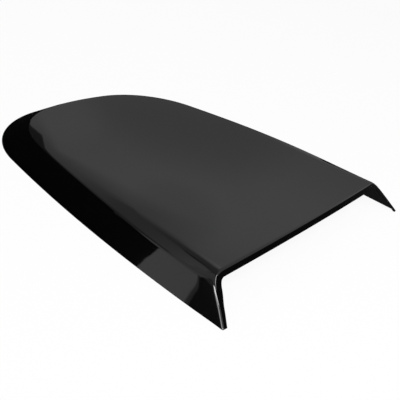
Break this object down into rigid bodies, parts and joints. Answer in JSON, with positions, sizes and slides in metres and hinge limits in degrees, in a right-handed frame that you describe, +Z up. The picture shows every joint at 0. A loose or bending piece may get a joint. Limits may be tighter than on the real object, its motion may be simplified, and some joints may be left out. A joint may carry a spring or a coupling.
{
  "type": "bonnet scoop",
  "caption": "Low glossy black scoop that lies on a car bonnet: a crowned one-piece shell with leaning flanks, a rounded tail and a wide raked mouth with a turned-in lip between front legs.",
  "frame": {"origin": "on the bonnet surface, under the middle of the box round the shell", "axes": "+Y from the mouth to the tail, +X across, +Z up from the bonnet"},
  "size_m": [0.5634, 0.7373, 0.0564],
  "materials": {
    "gloss_black_plastic": "glossy black, moulded smooth"
  },
  "bodies": {
    "root": {"scoop_shell": "gloss_black_plastic"}
  },
  "joints": []
}
